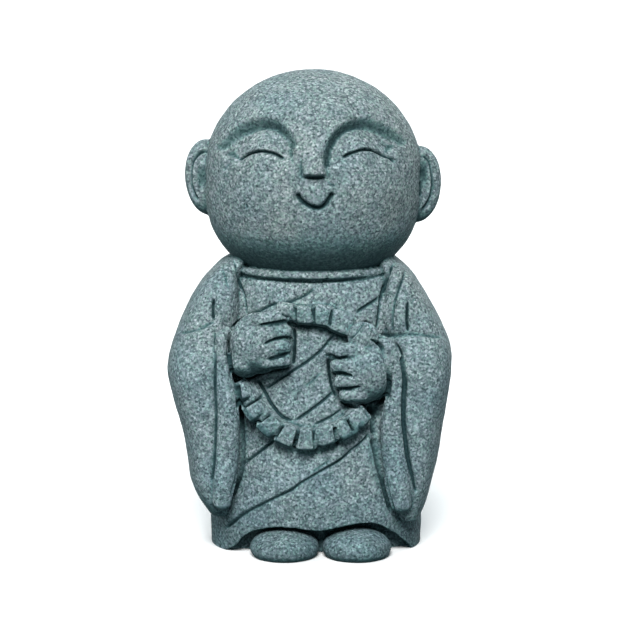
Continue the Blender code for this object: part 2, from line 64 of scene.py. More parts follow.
# (up, half width, depth in front, depth behind)
ROBE = (
    (-30, 104, 82, 72), (14, 105, 84, 74), (58, 106, 87, 77), (103, 101, 88, 80), (163, 92, 84, 80),
    (223, 91, 75, 78), (263, 92, 67, 73), (288, 86, 60, 64), (301, 76, 52, 54), (314, 56, 38, 40),
)


def place(across, up, depth):
    """The point that shows at (across, up) on the drawing and lies depth units in front of the axis."""
    eye = MIDDLE - SIGHT * VIEW_DISTANCE
    shown = MIDDLE + Vector((across * UNIT, 0, 0)) + UPWARD * (up - MIDDLE_UP) * UNIT
    reach = (-depth * UNIT - eye.y) / (shown.y - eye.y)
    return eye + (shown - eye) * reach


def level(up):
    """The height of the point of the axis that shows at up on the drawing."""
    return place(0, up, 0).z


def on_drawing(points):
    """Where points show on the drawing, as rows of (across, up)."""
    offset = points - MIDDLE
    shrink = VIEW_DISTANCE / (VIEW_DISTANCE + offset @ SIGHT) / UNIT
    return np.stack([offset[:, 0] * shrink, offset @ UPWARD * shrink + MIDDLE_UP], axis=1)


def ease(t):
    """A soft step from 0 to 1."""
    t = np.clip(t, 0, 1)
    return t * t * (3 - 2 * t)


def flow(stations, values, at):
    """A smooth curve through the rows of values at their stations, read at the stations in at."""
    stations, values, at = (np.asarray(a, float) for a in (stations, values, at))
    slopes = np.gradient(values, stations, axis=0)
    i = np.clip(np.searchsorted(stations, at) - 1, 0, len(stations) - 2)
    span = (stations[i + 1] - stations[i])[:, None]
    t = (at - stations[i])[:, None] / span
    return (
        values[i] * (1 + 2 * t) * (1 - t) ** 2
        + slopes[i] * span * t * (1 - t) ** 2
        + values[i + 1] * t**2 * (3 - 2 * t)
        - slopes[i + 1] * span * t**2 * (1 - t)
    )


def smooth_line(points, count):
    """A smooth line of count points through the given ones, evenly spaced."""
    points = np.asarray(points, float)
    stations = np.concatenate([[0], np.cumsum(np.linalg.norm(np.diff(points, axis=0), axis=1))])
    return flow(stations, points, np.linspace(0, stations[-1], count))


def mesh_from(name, vertices, faces):
    mesh = bpy.data.meshes.new(name)
    mesh.from_pydata([tuple(v) for v in vertices], [], faces)
    return mesh


def loft(name, rings):
    """A closed skin over rings of the same number of points, from the lowest to the highest."""
    sides = len(rings[0])
    vertices = np.concatenate(rings)
    faces = [tuple(reversed(range(sides)))]
    for r in range(len(rings) - 1):
        for s in range(sides):
            corner, beside = r * sides + s, r * sides + (s + 1) % sides
            faces.append((corner, beside, beside + sides, corner + sides))
    faces.append(tuple(range(len(vertices) - sides, len(vertices))))
    return mesh_from(name, vertices, faces)


def ring(middle_across, half_width, front, back, height, squareness, sides=144):
    """A level outline at a height in metres, round at squareness 2 and nearly square at 5 and more."""
    turn = np.linspace(0, 2 * pi, sides, endpoint=False)
    x = np.sign(np.cos(turn)) * np.abs(np.cos(turn)) ** (2 / squareness)
    y = np.sign(np.sin(turn)) * np.abs(np.sin(turn)) ** (2 / squareness)
    depth = np.where(y < 0, front, back)
    points = np.stack([middle_across + x * half_width, y * depth, np.zeros(sides)], axis=1) * UNIT
    points[:, 2] = height
    return points


def robe_at(up):
    """Half width, depth in front and depth behind of the robe, at one place up or several."""
    rows = np.array(ROBE, float)
    return flow(rows[:, 0], rows[:, 1:], np.atleast_1d(up))


def robe_depth(across, up):
    """How far in front of the axis the robe's surface lies."""
    half_width, front, _ = robe_at(up)[0]
    share = min(abs(across - ROBE_ACROSS) / half_width, 0.95)
    return front * (1 - share**ROBE_SQUARENESS) ** (1 / ROBE_SQUARENESS)


def robe_normal(across, up):
    """The direction that the robe's surface faces."""
    here = place(across, up, robe_depth(across, up))
    beside = place(across + 1, up, robe_depth(across + 1, up))
    above = place(across, up + 1, robe_depth(across, up + 1))
    return (beside - here).cross(above - here).normalized()


heights = np.linspace(ROBE[0][0], ROBE[-1][0], ROBE_RINGS)
robe = loft("robe", [
    ring(ROBE_ACROSS, wide, front, back, level(up), ROBE_SQUARENESS)
    for up, (wide, front, back) in zip(heights, robe_at(heights))
])


# Both bare feet stand side by side in a low hollow under the hem. The hollow is cut back into the robe,
# deepest between the feet, and its upper edge is the wavy hem.
FEET = ((-28, 71), (43, 71))  # (across, depth in front)
FOOT_HALF = (34, 38, 18)
FOOT_MIDDLE = 8
HEM = (
    (-100, 6), (-93, 13), (-84, 15), (-77, 19), (-70, 27), (-62, 32), (-50, 35), (-27, 37), (-7, 34),
    (8, 33), (23, 36), (38, 39), (53, 41), (63, 40), (73, 36), (83, 30), (93, 22), (100, 14), (105, 6),
)
HOLLOW_MIDDLE = 58
HOLLOW_ENDS = 24
CUTTER_AHEAD = 170
CUTTER_FOOT = -0.012


def ball(name, middle, half, lean=0.0):
    """An egg with its middle in metres and its half sizes in drawing units, leaned about Y."""
    shape = bmesh.new()
    bmesh.ops.create_uvsphere(shape, u_segments=72, v_segments=40, radius=1)
    size = Matrix.Diagonal((*(h * UNIT for h in half), 1))
    shape.transform(Matrix.Translation(middle) @ Matrix.Rotation(lean, 4, "Y") @ size)
    mesh = bpy.data.meshes.new(name)
    shape.to_mesh(mesh)
    shape.free()
    return mesh


def link(name, mesh):
    obj = bpy.data.objects.new(name, mesh)
    bpy.context.scene.collection.objects.link(obj)
    return obj


def finished(obj):
    """The object's mesh with its modifiers applied. The object itself goes."""
    bpy.context.view_layer.update()
    graph = bpy.context.evaluated_depsgraph_get()
    mesh = bpy.data.meshes.new_from_object(obj.evaluated_get(graph))
    bpy.data.objects.remove(obj)
    return mesh


def facing_out(mesh):
    shape = bmesh.new()
    shape.from_mesh(mesh)
    bmesh.ops.recalc_face_normals(shape, faces=shape.faces)
    shape.to_mesh(mesh)
    shape.free()
    return mesh


def hollow():
    """The cutter for the hollow under the hem."""
    line = smooth_line(HEM, 96)
    reach = max(abs(line[:, 0]))
    vertices = []
    for across, up in line:
        depth = HOLLOW_MIDDLE + (HOLLOW_ENDS - HOLLOW_MIDDLE) * (across / reach) ** 2
        front = place(across, up, robe_depth(across, up))
        x, top = front.x, front.z
        back, ahead = -depth * UNIT, -CUTTER_AHEAD * UNIT
        vertices += [(x, ahead, CUTTER_FOOT), (x, back, CUTTER_FOOT), (x, back, top), (x, ahead, top)]
    faces = [(3, 2, 1, 0)]
    for i in range(0, len(vertices) - 4, 4):
        faces += [(i + a, i + b, i + b + 4, i + a + 4) for a, b in ((0, 1), (1, 2), (2, 3), (3, 0))]
    end = len(vertices) - 4
    faces.append((end, end + 1, end + 2, end + 3))
    return mesh_from("hollow", vertices, faces)


cutter = link("hollow", facing_out(hollow()))
body = link("robe", facing_out(robe))
hollowing = body.modifiers.new("hollow", "BOOLEAN")
hollowing.operation = "DIFFERENCE"
hollowing.object = cutter
clay.append(finished(body))
bpy.data.objects.remove(cutter)
clay += [ball("foot", Vector((across, -depth, FOOT_MIDDLE)) * UNIT, FOOT_HALF) for across, depth in FEET]


# The shaven head is an egg of stone, round above and squarer at the jaw, set on the robe without a neck.
HEAD_UP = 391
HEAD_HALF_WIDTH = 108
HEAD_ABOVE = 104
HEAD_BELOW = 104
HEAD_DEPTH = 98
HEAD_ROUNDNESS = 2.1
CRANIUM_SQUARENESS = 2.0
JAW_SQUARENESS = 2.6
HEAD_RINGS = 96
NEARLY_UPRIGHT = 0.49 * pi
rings = []
for turn in np.linspace(-NEARLY_UPRIGHT, NEARLY_UPRIGHT, HEAD_RINGS):
    share = sin(turn)
    reach, power = (HEAD_ABOVE, CRANIUM_SQUARENESS) if share > 0 else (HEAD_BELOW, JAW_SQUARENESS)
    size = (1 - abs(share) ** power) ** (1 / power)
    depth = HEAD_DEPTH * size
    height = level(HEAD_UP + reach * share)
    rings.append(ring(0, HEAD_HALF_WIDTH * size, depth, depth, height, HEAD_ROUNDNESS))
clay.append(loft("head", rings))


# The long ears are thick upright lobes on the sides of the head, carved from the same stone.
EAR_HALF = (23, 14, 38)
EAR_DEPTH = 4
EAR_LEAN = radians(4)
for across, up, lean in ((-105, 387, -EAR_LEAN), (105, 380, EAR_LEAN)):
    clay.append(ball("ear", place(across, up, EAR_DEPTH), EAR_HALF, lean))


# The sleeves hang from the bent arms to near the hem. Each is a tall lobe at the side of the robe, wide at
# the elbow, and ends in front in a thick rolled edge from the wrist down.
# (up, outer edge, inner edge, depth in front, depth behind)
RIGHT_SLEEVE = (
    (311, 79, 58, 36, 40), (304, 91, 64, 42, 46), (294, 102, 69, 50, 53), (277, 116, 70, 58, 60),
    (253, 129, 70, 65, 65), (239, 135, 70, 69, 67), (225, 140, 72, 77, 68), (203, 145, 74, 83, 67),
    (170, 139, 72, 83, 63), (140, 130, 71, 83, 57), (110, 125, 72, 81, 47), (92, 122, 76, 79, 36),
    (76, 114, 78, 75, 22), (62, 104, 82, 67, 4),
)
LEFT_SLEEVE = (
    (311, 77, 58, 36, 40), (304, 86, 62, 42, 46), (294, 97, 66, 50, 53), (277, 109, 66, 58, 60),
    (253, 123, 64, 65, 65), (235, 132, 66, 68, 67), (222, 137, 68, 77, 68), (203, 138, 70, 83, 67),
    (170, 134, 66, 83, 63), (140, 129, 62, 83, 57), (110, 124, 63, 81, 47), (88, 118, 70, 79, 34),
    (76, 115, 76, 75, 20), (57, 107, 82, 68, 2),
)
SLEEVE_SQUARENESS = 2.8
SLEEVE_RINGS = 90
# (across, up, radius)
RIGHT_CUFF = (
    (-86, 234, 4), (-90, 229, 5.5), (-92, 220, 6.5), (-91, 203, 7), (-89, 186, 8.5),
    (-86.5, 170, 10), (-85, 152, 11), (-86, 124, 12), (-87, 100, 12), (-89, 81, 11.5), (-91, 63, 9),
)
LEFT_CUFF = (
    (56, 226, 4), (66, 224, 6), (76, 216, 7.5), (82, 202, 8), (84, 188, 8), (82.5, 170, 9),
    (80, 152, 11), (79, 134, 12), (81, 114, 12.5), (83, 94, 12.5), (85, 79, 12.5), (88, 61, 10.5),
)
CUFF_DEPTH = 78


def sleeve(rows, side):
    """A hanging sleeve. Side is -1 for the figure's right arm and 1 for its left."""
    rows = np.array(rows[::-1], float)
    heights = np.linspace(rows[0, 0], rows[-1, 0], SLEEVE_RINGS)
    rings = []
    for up, (outer, inner, front, back) in zip(heights, flow(rows[:, 0], rows[:, 1:], heights)):
        middle, half_width = side * (outer + inner) / 2, (outer - inner) / 2
        rings.append(ring(middle, half_width, front, back, level(up), SLEEVE_SQUARENESS))
    return loft("sleeve", rings)


def tube(name, points, radius, shares=None):
    """A ball-ended round bar through points in metres, its radius in drawing units times the shares."""
    shares = np.ones(len(points)) if shares is None else shares
    curve = bpy.data.curves.new(name, "CURVE")
    curve.dimensions = "3D"
    curve.bevel_depth = radius * UNIT
    curve.bevel_resolution = 6
    curve.use_fill_caps = True
    spline = curve.splines.new("POLY")
    spline.points.add(len(points) - 1)
    for target, point, share in zip(spline.points, points, shares):
        target.co = (*point, 1)
        target.radius = share
    bar = bpy.data.objects.new(name, curve)
    mesh = bpy.data.meshes.new_from_object(bar)
    bpy.data.objects.remove(bar)
    return [mesh, *(ball(name, points[end], (radius * shares[end],) * 3) for end in (0, -1))]


for rows, roll, side in ((RIGHT_SLEEVE, RIGHT_CUFF, -1), (LEFT_SLEEVE, LEFT_CUFF, 1)):
    line = smooth_line(roll, 60)
    clay.append(sleeve(rows, side))
    clay += tube("cuff", [place(across, up, CUFF_DEPTH) for across, up, _ in line], 1, line[:, 2])


# The collar is a soft roll of the robe round the neck, tucked up under the chin.
COLLAR_UP = 299
COLLAR_HALF_WIDTH = 79
COLLAR_FRONT = 62
COLLAR_RADIUS = 4
COLLAR_TILT = radians(3)
points = []
for turn in np.linspace(0, 2 * pi, 120):
    x = COLLAR_HALF_WIDTH * cos(turn) * UNIT
    y = COLLAR_FRONT * sin(turn) * UNIT
    points.append(Vector((x, y, level(COLLAR_UP) + y * sin(COLLAR_TILT))))
clay += tube("collar", points, COLLAR_RADIUS)


# Both hands are fists in front of the chest: a round palm with four short finger bars across it, and on the
# lower hand a thumb that points up.
RIGHT_FIST = ((-54, 221), 81, (28, 23, 30))  # ((across, up), depth in front, half sizes)
LEFT_FIST = ((51, 194), 81, (26, 24, 32))
RIGHT_WRIST = ((-67, 205), 74, (17, 23, 18))
LEFT_WRIST = ((62, 186), 74, (14, 22, 22))
FINGER_RADIUS = 8
FINGER_DEPTH = 93
RIGHT_FINGERS = (
    ((-54, 243), (-31, 248)), ((-50, 229), (-29, 232)), ((-48, 214), (-29, 217)), ((-46, 202), (-29, 204)),
)
LEFT_FINGERS = (
    ((46, 213), (22, 213)), ((46, 198), (26, 198)), ((46, 183), (29, 182)), ((48, 170), (34, 169)),
)
THUMB = ((50, 227), 86, (15, 13, 15))
for spot, depth, half in (RIGHT_FIST, LEFT_FIST, RIGHT_WRIST, LEFT_WRIST, THUMB):
    clay.append(ball("fist", place(*spot, depth), half))
for line in (*RIGHT_FINGERS, *LEFT_FINGERS):
    clay += tube("finger", [place(*point, FINGER_DEPTH) for point in line], FINGER_RADIUS)


# The prayer beads are blocky stone beads side by side. Four run from hand to hand above, and eight hang in
# a loop below. They lie on the robe and are carved in one with it.
UPPER_BEADS = (  # (across, up, length, depth, height), in the order of the string
    (-26.5, 252, 19.5, 21, 19), (-9.2, 248.5, 20, 21, 18), (9.5, 248, 21.5, 21, 21.5), (27, 241, 23, 23, 22),
)
LOWER_BEADS = (
    (-60.5, 172.5, 21, 44, 22), (-52, 155.5, 21.5, 33, 22), (-39.5, 140, 21.5, 28, 21.5),
    (-24.5, 130.5, 21, 26, 21), (-6, 126, 21.5, 26, 21.5), (13, 130.5, 22, 26, 20),
    (30.5, 137.5, 20.5, 26, 20), (42.5, 149, 18.5, 27, 20.5),
)
BEAD_LIFT = 3
BEAD_CREASE = 0.4
BEAD_UNEVENNESS = 0.03
BEAD_ROUNDING_STEPS = 4
UPPER_SEED = 3
LOWER_SEED = 8


def bead_tree():
    """A rounded block at each point, its length along the string and its depth straight out of the robe."""
    tree = bpy.data.node_groups.new("string of beads", "GeometryNodeTree")
    new, wire, face = tree.nodes.new, tree.links.new, tree.interface.new_socket
    face("Places", in_out="INPUT", socket_type="NodeSocketGeometry")
    for name, kind in (("Crease", "Float"), ("Unevenness", "Float"), ("Seed", "Int"), ("Stone", "Material")):
        face(name, in_out="INPUT", socket_type="NodeSocket" + kind)
    face("Beads", in_out="OUTPUT", socket_type="NodeSocketGeometry")
    given, result = new("NodeGroupInput"), new("NodeGroupOutput")
    block = new("GeometryNodeMeshCube")
    block.inputs["Size"].default_value = (1, 1, 1)
    rounding = new("GeometryNodeSubdivisionSurface")
    rounding.inputs["Level"].default_value = BEAD_ROUNDING_STEPS
    wire(block.outputs["Mesh"], rounding.inputs["Mesh"])
    wire(given.outputs["Crease"], rounding.inputs["Edge Crease"])
    fields = {}
    for name in ("along", "out", "size"):
        fields[name] = new("GeometryNodeInputNamedAttribute")
        fields[name].data_type = "FLOAT_VECTOR"
        fields[name].inputs["Name"].default_value = name
    turn = new("FunctionNodeAxesToRotation")
    turn.primary_axis, turn.secondary_axis = "X", "Y"
    wire(fields["along"].outputs["Attribute"], turn.inputs["Primary Axis"])
    wire(fields["out"].outputs["Attribute"], turn.inputs["Secondary Axis"])
    less, more = new("ShaderNodeMath"), new("ShaderNodeMath")
    less.operation, more.operation = "SUBTRACT", "ADD"
    for sum_node in (less, more):
        sum_node.inputs[0].default_value = 1
        wire(given.outputs["Unevenness"], sum_node.inputs[1])
    vary = new("FunctionNodeRandomValue")
    vary.data_type = "FLOAT_VECTOR"
    wire(less.outputs[0], vary.inputs["Min"])
    wire(more.outputs[0], vary.inputs["Max"])
    wire(given.outputs["Seed"], vary.inputs["Seed"])
    size = new("ShaderNodeVectorMath")
    size.operation = "MULTIPLY"
    wire(fields["size"].outputs["Attribute"], size.inputs[0])
    wire(vary.outputs["Value"], size.inputs[1])
    lay = new("GeometryNodeInstanceOnPoints")
    wire(given.outputs["Places"], lay.inputs["Points"])
    wire(rounding.outputs["Mesh"], lay.inputs["Instance"])
    wire(turn.outputs["Rotation"], lay.inputs["Rotation"])
    wire(size.outputs["Vector"], lay.inputs["Scale"])
    real, stone = new("GeometryNodeRealizeInstances"), new("GeometryNodeSetMaterial")
    wire(lay.outputs["Instances"], real.inputs["Geometry"])
    wire(real.outputs["Geometry"], stone.inputs["Geometry"])
    wire(given.outputs["Stone"], stone.inputs["Material"])
    wire(stone.outputs["Geometry"], result.inputs["Beads"])
    return tree


def beads(rows, seed):
    """One run of the string as a plain mesh of its beads."""
    spots = [place(across, up, robe_depth(across, up)) for across, up, *_ in rows]
    outs = [robe_normal(across, up) for across, up, *_ in rows]
    runs = [spots[min(i + 1, len(spots) - 1)] - spots[max(i - 1, 0)] for i in range(len(spots))]
    mesh = mesh_from("bead places", [s + o * BEAD_LIFT * UNIT for s, o in zip(spots, outs)], [])
    sizes = np.array([row[2:] for row in rows]) * UNIT
    for name, values in (("along", runs), ("out", outs), ("size", sizes)):
        field = mesh.attributes.new(name, "FLOAT_VECTOR", "POINT")
        field.data.foreach_set("vector", np.array(values).ravel())
    string = link("beads", mesh)
    laid = string.modifiers.new("beads", "NODES")
    laid.node_group = bead_tree()
    given = {"Crease": BEAD_CREASE, "Unevenness": BEAD_UNEVENNESS, "Seed": seed, "Stone": granite}
    for socket in laid.node_group.interface.items_tree:
        if socket.in_out == "INPUT" and socket.name in given:
            laid[socket.identifier] = given[socket.name]
    return finished(string)


granite = bpy.data.materials.new("granite")
clay += [beads(UPPER_BEADS, UPPER_SEED), beads(LOWER_BEADS, LOWER_SEED)]


# All of this is one block of stone. The masses are joined by one skin, and its seams are softened a little,
# as the carver leaves them.
VOXEL = 1.05 * UNIT
SEAM_STEPS = 7
SOFTENING = 0.5
shape = bmesh.new()
for mass in clay:
    shape.from_mesh(facing_out(mass))
joined = bpy.data.meshes.new("block")
shape.to_mesh(joined)
shape.free()
block = link("block", joined)
skin = block.modifiers.new("skin", "REMESH")
skin.mode = "VOXEL"
skin.voxel_size = VOXEL
soften = block.modifiers.new("soften", "SMOOTH")
soften.factor = SOFTENING
soften.iterations = SEAM_STEPS
block = finished(block)

count = len(block.vertices)
points, normals = np.zeros(count * 3), np.zeros(count * 3)
block.vertices.foreach_get("co", points)
block.vertices.foreach_get("normal", normals)
points, normals = points.reshape(-1, 3), normals.reshape(-1, 3)
front = on_drawing(points)
facing = ease((normals @ -np.array(SIGHT) - 0.05) / 0.3)
# The darkening that carved lines and patches leave is painted shade and stain.
sunk, lifted, shade_and_stain_marks = np.zeros(count), np.zeros(count), np.zeros(count)


# The carved lines of the face: two wide brow arcs that run down into the nose, closed smiling eyes, a small
# square nose and a curved mouth. The brows are steps, as the lids lie deeper than the forehead.
RUN_OUT = 8  # the length over which a carved line fades at its ends


def within(at, line, reach):
    """The places that can lie within reach of the line."""
    low, high = np.min(line, axis=0) - reach, np.max(line, axis=0) + reach
    return np.where(((at > low) & (at < high)).all(axis=1))[0]


def measure(line, at, reach):
    """Each place's distance from the line, share of the way along it, and side: 1 on its left."""
    distance = np.full(len(at), np.inf)
    along, side = np.zeros(len(at)), np.zeros(len(at))
    for i, (start, end) in enumerate(zip(line[:-1], line[1:])):
        near = within(at, (start, end), reach)
        run = end - start
        t = np.clip((at[near] - start) @ run / (run @ run), 0, 1)
        off = at[near] - start - t[:, None] * run
        away = np.linalg.norm(off, axis=1)
        nearer = away < distance[near]
        near, t, off, away = near[nearer], t[nearer], off[nearer], away[nearer]
        distance[near] = away
        along[near] = (i + t) / (len(line) - 1)
        side[near] = np.sign(run[0] * off[:, 1] - run[1] * off[:, 0])
    return distance, along, side


def faded(line, along, run_in, run_out):
    """A carved line's strength along its length."""
    length = np.linalg.norm(np.diff(line, axis=0), axis=1).sum()
    return ease(along * length / run_in) * ease((1 - along) * length / run_out)


def cut(line, half_width, depth, run_out=RUN_OUT, shade_and_stain=0.0):
    """Cuts a groove along a line on the drawing and may paint shade and stain in it; with no depth it only
    paints.
    """
    line = smooth_line(line, 48)
    near = within(front, line, half_width)
    distance, along, _ = measure(line, front[near], half_width)
    across = 0.5 + 0.5 * np.cos(pi * np.clip(distance / half_width, 0, 1))
    groove = across * faded(line, along, run_out, run_out) * facing[near]
    sunk[near] = np.maximum(sunk[near], depth * groove)
    shade_and_stain_marks[near] = np.maximum(shade_and_stain_marks[near], shade_and_stain * groove)


def step(line, side, height, rise, fall, run_out=RUN_OUT, run_in=None):
    """Lifts the stone on one side of a line: fully at rise from it, and not at all at rise + fall."""
    line = smooth_line(line, 48)
    near = within(front, line, rise + fall)
    distance, along, found = measure(line, front[near], rise + fall)
    inside = np.where(found == side, distance, 0)
    across = ease(inside / rise) * (1 - ease((inside - rise) / fall))
    lifted[near] += height * across * faded(line, along, run_in or run_out, run_out) * facing[near]


def swell(middle, reach, height, shade_and_stain=0.0):
    """Lifts or, with a height below nothing, sinks a soft round or oval patch, and may paint shade on it."""
    near = within(front, (middle,), max(reach))
    away = np.linalg.norm((front[near] - middle) / reach, axis=1)
    lifted[near] += height * (1 - ease(away)) * facing[near]
    shade_and_stain_marks[near] = np.maximum(shade_and_stain_marks[near], shade_and_stain * (1 - ease(away)) * facing[near])


LEFT_BROW = (
    (11, 388), (10, 403), (12, 416), (17, 428), (25, 438), (35, 445), (45, 448), (56, 447), (66, 443),
    (76, 436), (85, 428), (93, 420),
)
RIGHT_BROW = (
    (-11, 390), (-13, 403), (-16, 417), (-21, 427), (-27, 436), (-34, 443), (-43, 447), (-52, 448),
    (-62, 446), (-73, 440), (-83, 431), (-91, 420), (-97, 409),
)
step(RIGHT_BROW, 1, -8.5, 9, 32, 8, 30)
step(LEFT_BROW, -1, -8.5, 9, 32, 8, 26)
# The brow channels are darkened with painted shade and stain as well.
cut(((-18, 414), (-20, 420), (-24, 427), (-30, 434), (-37, 440), (-48, 442.5), (-60, 441), (-72, 436),
     (-82, 429), (-90, 421), (-97, 412)), 6.5, 4.5, 7, 0.5)
cut(((14, 394), (14, 406), (16, 416), (21, 426), (28, 434), (37, 440), (47, 442.5), (57, 442), (68, 438),
     (78, 432), (87, 426), (95, 418)), 6.5, 4.5, 7, 0.55)

# The closed eyes.
cut(((-79, 403), (-74, 407), (-67, 410.5), (-57, 413), (-48, 413), (-40, 411), (-34, 408), (-28, 405)),
    2.8, 5.5)
cut(((-90, 393), (-86, 398), (-82, 401), (-77, 405)), 2.2, 1.2, 4)
cut(((29, 406), (36, 410), (44, 413), (52, 415), (60, 415), (68, 412), (74, 409), (80, 404), (84, 400)),
    2.8, 5.5)

# The mouth and the dark underside of the nose, both darkened with painted shade, and two small marks of the
# chisel.
cut(((-16, 372), (-14, 366), (-9, 361), (-4, 358), (2, 356), (8, 356), (13, 360), (17, 366), (21, 372)),
    4.2, 6.5, 4, 0.3)
cut(((-9, 388), (3, 386.5), (13, 388)), 3.8, 3.5, 4, 0.7)
cut(((13, 383), (18, 380), (24, 377)), 2.2, 1.2, 4)
cut(((-66, 362), (-66, 358), (-66, 354)), 2.2, 2, 3)

# The stone is a little full round the mouth, on the cheeks and on the lids.
for middle, reach, height in (
    ((3, 368), (26, 22), 1.5), ((-56, 371), (38, 34), 3), ((60, 373), (38, 34), 3),
    ((-57, 404), (26, 12), 1.5), ((57, 406), (26, 12), 1.5),
):
    swell(middle, reach, height)

# The nose is a wedge between the brows that rises towards its tip and ends square.
NOSE_TOP = 425
NOSE_TIP = 390
NOSE_UNDERSIDE = 4
NOSE_HALF_WIDTH = 11
NOSE_HEIGHT = 8
down = np.clip((NOSE_TOP - front[:, 1]) / (NOSE_TOP - NOSE_TIP), 0, 1)
off_ridge = np.abs(front[:, 0] - (4 * down - 2.5)) / NOSE_HALF_WIDTH
ridge = 1 - ease((off_ridge - 0.7) / 0.5)
underside = ease((front[:, 1] - NOSE_TIP + NOSE_UNDERSIDE) / NOSE_UNDERSIDE)
lifted += NOSE_HEIGHT * down**1.3 * ridge * underside * facing


# The ears have a rim that curls over, cut free by a groove, and a deep shell in the middle, darkened with
# painted shade.
for rim in (
    ((-104, 412), (-110, 412.5), (-116, 409), (-120, 404), (-122.5, 396), (-123, 387), (-122, 377),
     (-119, 369), (-113, 361)),
    ((106, 407), (111, 408), (116, 404), (118.5, 396), (120, 386), (120, 376), (118, 367), (113, 358),
     (107, 351)),
):
    cut(rim, 3, 4)
swell((-112, 386), (7, 18), -4, 0.6)
swell((111, 391), (7, 19), -4, 0.8)
cut(((108, 384), (108, 376), (107, 366)), 2.6, 2.5, 4)
step(((102, 400), (108, 400), (113, 396), (115, 388), (114, 378), (111, 367)), -1, 1.5, 2, 5)


# The collar's roll is cut free below, and the robe's front edges run down from it to the wrists. The left
# side laps over the right one, so a fold runs slantwise over the chest.
cut(((-75, 288), (-57, 285), (-32, 283), (-12, 282), (8, 282), (38, 283.5), (58, 286), (68, 289), (75, 292)),
    2, 1)
cut(((6, 280), (11, 283), (17, 286)), 2.2, 1.5, 4)
cut(((4, 278), (-2, 273), (-9, 268), (-17, 264.5), (-35, 259)), 2.8, 2.5)
cut(((-81, 306), (-79, 302), (-74, 284), (-69, 267), (-67, 252), (-67, 246)), 2.1, 2.4)
step(((-84, 304), (-77, 284), (-72, 267), (-70, 252), (-69, 246)), -1, 1.5, 4, 12)
cut(((-92, 300), (-87, 284), (-83, 272)), 2.4, 1.6)
cut(((82, 303), (76, 292), (72, 281), (69, 269), (66, 257), (65, 244), (64, 232)), 2.8, 4.5)
step(((85, 303), (79, 292), (75, 281), (72, 269), (69, 257), (68, 244), (67, 234)), 1, 3, 4, 12)
cut(((93, 296), (90, 286), (86, 276), (83, 267), (80, 254), (79, 242), (79, 230)), 2.6, 2.8)
step(((95, 294), (92, 286), (88, 276), (85, 267), (82, 254), (81, 242)), 1, 1.5, 3, 10)


# The arms bend sharply at the elbow. A notch is cut under each upper arm, with a crease over the elbow.
RIGHT_ELBOW = ((-95, 244), (-104, 240), (-112, 236), (-122, 233), (-136, 231))
LEFT_ELBOW = ((56, 226), (73, 228), (83, 228.5), (98, 230), (120, 228), (132, 227))
cut(((-99, 267), (-100, 256), (-99, 243)), 2.8, 5.5, 6)
swell((-109, 247), (13, 18), -3)
cut(RIGHT_ELBOW, 4.5, 2)
step(RIGHT_ELBOW, 1, 2, 4, 20)
cut(((95, 264), (94, 250), (94, 240), (95, 230)), 2.6, 5.5, 6)
swell((105, 245), (12, 18), -3.5)
cut(((98, 258), (101, 264), (103, 268)), 2.2, 1.5, 4)
cut(LEFT_ELBOW, 4.5, 2)
step(LEFT_ELBOW, -1, 2, 4, 20)


# The rolled front edge of each sleeve is cut free on the outside by a long groove, and on the inside by a
# deep gap to the robe. Painted shade darkens the gaps and spreads a little way out of them.
cut(((-98, 236), (-98, 203), (-98, 178), (-97, 153), (-98, 123), (-99.5, 98), (-102, 80)), 2.2, 2)
cut(((-83, 226), (-84, 216), (-83.5, 204), (-81, 192), (-80, 183)), 3, 3)
cut(((-76.5, 184), (-75, 170), (-73, 156), (-71.5, 130), (-71.5, 104), (-73, 92), (-77, 80), (-81, 66)),
    3.8, 8, 10, 0.8)
cut(((-70, 150), (-70, 120), (-72, 92), (-78, 74)), 7, 0, 10, 0.45)
cut(((81, 223), (86, 214), (89, 204), (91, 194), (92, 184), (91, 164), (91, 144), (93, 124), (95, 109),
     (98, 94), (101, 82), (104, 68)), 3.2, 4.5)
cut(((55, 225), (63, 222), (68, 217), (72, 209), (74, 202), (76, 192), (76, 179), (74, 169), (69, 162),
     (61, 156)), 3, 5)
cut(((56, 160), (62, 151), (61, 138), (62, 127)), 5, 7, 6, 0.6)
swell((61, 152), (11, 11), -9, 0.9)
cut(((59, 128), (64, 109), (67, 94), (70, 84), (74, 69), (78, 56), (80, 50)), 4.5, 5, 8, 0.6)
cut(((60, 134), (62, 112), (66, 90), (73, 66)), 13, 0, 16, 0.3)


# Short grooves part the fingers, and a deeper line goes round each fist.
# The finger grooves are darkened with painted shade and stain.
for groove in (
    ((-55, 238), (-40, 240.5), (-25, 243)), ((-50, 219), (-42, 223), (-32, 225.5), (-19, 226)),
    ((-46, 204), (-36, 207), (-22, 211)),
):
    cut(groove, 2.6, 4, 5, 0.4)
cut(((-37, 213), (-30, 213), (-22, 214)), 1.8, 1, 4)
cut(((-34, 252), (-25, 247), (-20, 242)), 2.4, 3.5, 5)
cut(((-83, 234), (-72, 244), (-62, 250), (-54, 253), (-42, 259), (-33, 262)), 2.6, 3)
cut(((-19, 238), (-18.5, 220), (-20, 198)), 3, 5, 6)
cut(((-20, 197), (-32, 195), (-44, 193), (-55, 190), (-67, 186), (-76, 182)), 3, 4.5)
for groove in (
    ((10, 208), (19, 209), (23, 206.5), (36, 207)), ((18, 190.5), (30, 190), (41, 187)),
    ((22, 174.5), (34, 175), (49, 177)),
):
    cut(groove, 2.6, 4, 5, 0.4)
cut(((35, 223), (43, 231), (53, 242), (59, 236), (65, 228)), 2.2, 2.5, 4)
cut(((15, 208), (16.5, 190), (20, 174), (24, 166)), 2.8, 4.5, 6)
cut(((25, 164), (33, 160), (43, 158), (58, 160), (68, 165), (76, 173)), 3, 5)
